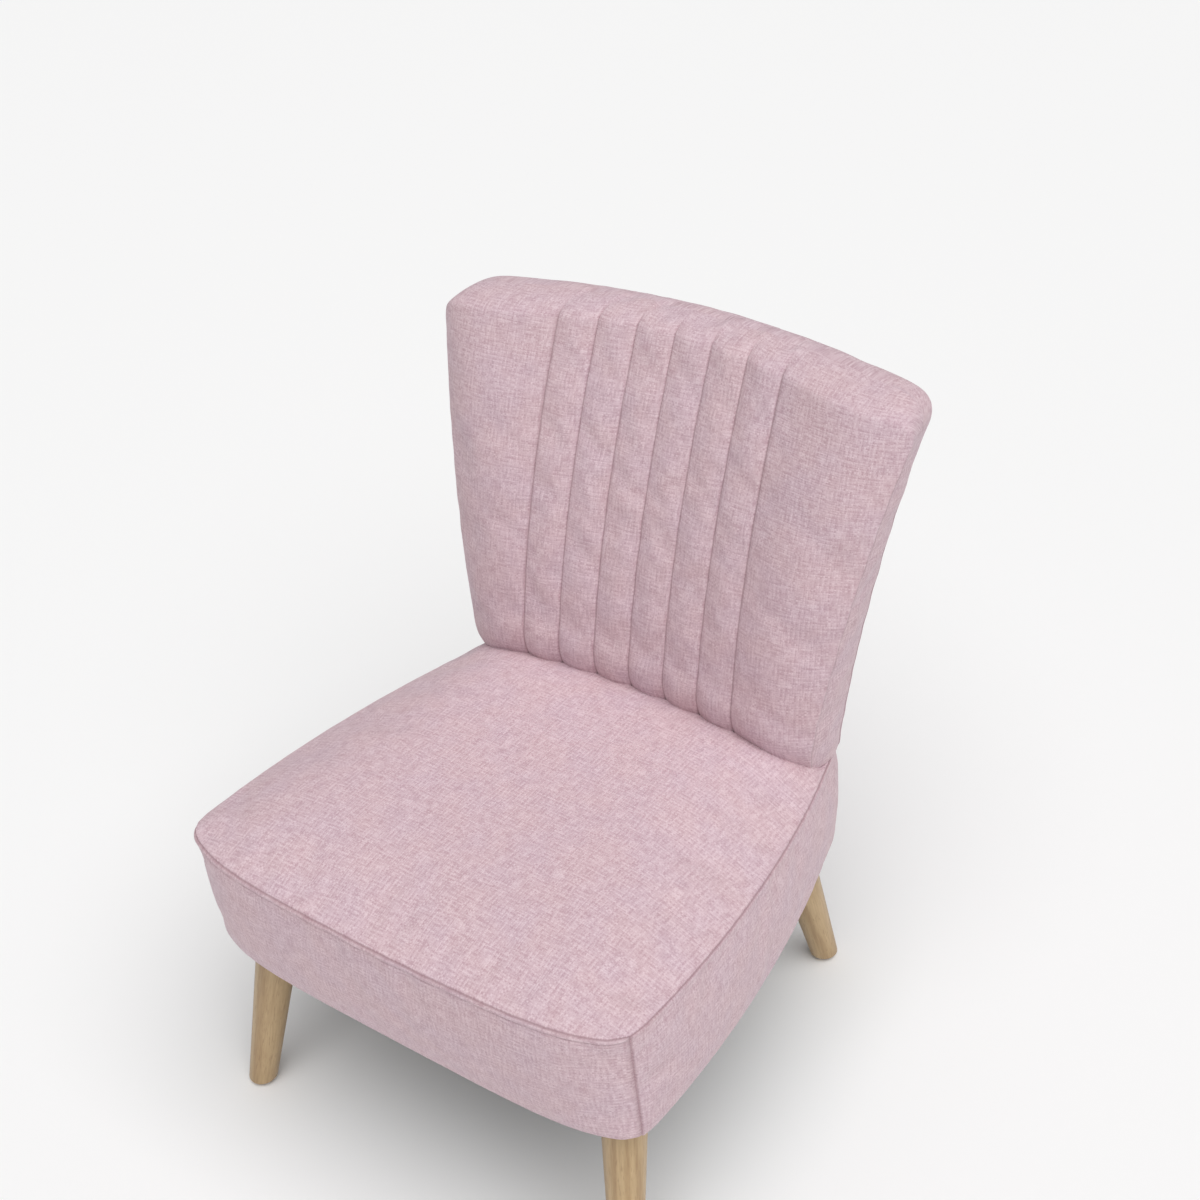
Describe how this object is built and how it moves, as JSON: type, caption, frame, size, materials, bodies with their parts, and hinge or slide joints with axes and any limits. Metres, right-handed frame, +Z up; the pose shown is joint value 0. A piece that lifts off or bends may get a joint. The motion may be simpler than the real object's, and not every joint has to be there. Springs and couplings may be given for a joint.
{
  "type": "upholstered chair",
  "caption": "Armless upholstered easy chair with a crowned seat, a curved channel-stitched backrest that fans out towards the top, and splayed tapered wooden legs.",
  "frame": {"origin": "on the floor, under the centre of the chair's bounding box", "axes": "+Z up, -Y towards the sitter's knees (front), +X to the chair's right-hand side as seen from the front"},
  "size_m": [0.5974, 0.6411, 0.817],
  "materials": {
    "leg_wood": "clear satin lacquer over pale straight-grained hardwood",
    "glide_plastic": "matt moulded glide",
    "zinc_steel": "zinc plated",
    "foam": "open-cell upholstery foam",
    "felt": "needled felt and polyester wadding",
    "black_lining": "non-woven lining cloth",
    "webbing": "elastic upholstery webbing",
    "cover_fabric": "matt linen-look weave in two tones of dusty pink",
    "frame_pine": "sawn softwood"
  },
  "bodies": {
    "root": {"leg_front_left": "leg_wood", "leg_front_right": "leg_wood", "leg_rear_left": "leg_wood", "leg_rear_right": "leg_wood", "glide_front_left": "glide_plastic", "glide_front_right": "glide_plastic", "glide_rear_left": "glide_plastic", "glide_rear_right": "glide_plastic", "hanger_bolts": "zinc_steel", "leg_insert_nuts": "zinc_steel", "seat_front_rail": "frame_pine", "seat_rear_rail": "frame_pine", "seat_left_rail": "frame_pine", "seat_right_rail": "frame_pine", "spring_rail": "frame_pine", "corner_block_front_left": "frame_pine", "corner_block_front_right": "frame_pine", "corner_block_rear_left": "frame_pine", "corner_block_rear_right": "frame_pine", "rail_dowels": "frame_pine", "block_screws": "zinc_steel", "back_beam": "frame_pine", "seat_springs": "zinc_steel", "spring_clips": "zinc_steel", "spring_felt": "felt", "seat_foam": "foam", "seat_top_cover": "cover_fabric", "seat_front_cover": "cover_fabric", "seat_left_cover": "cover_fabric", "seat_right_cover": "cover_fabric", "seat_rear_cover": "cover_fabric", "deck_cloth": "black_lining", "dust_cover": "black_lining", "dust_cover_staples": "zinc_steel", "back_left_post": "frame_pine", "back_right_post": "frame_pine", "back_top_rail": "frame_pine", "back_mid_rail": "frame_pine", "back_bottom_rail": "frame_pine", "back_straps": "webbing", "back_foam": "foam", "back_wadding": "felt", "back_left_channel_cover": "cover_fabric", "back_right_channel_cover": "cover_fabric", "back_left_wing_cover": "cover_fabric", "back_right_wing_cover": "cover_fabric", "back_left_cover": "cover_fabric", "back_right_cover": "cover_fabric", "back_rear_cover": "cover_fabric", "back_base_cloth": "black_lining", "back_bolts": "zinc_steel", "back_washers": "zinc_steel", "back_insert_nuts": "zinc_steel"}
  },
  "joints": []
}
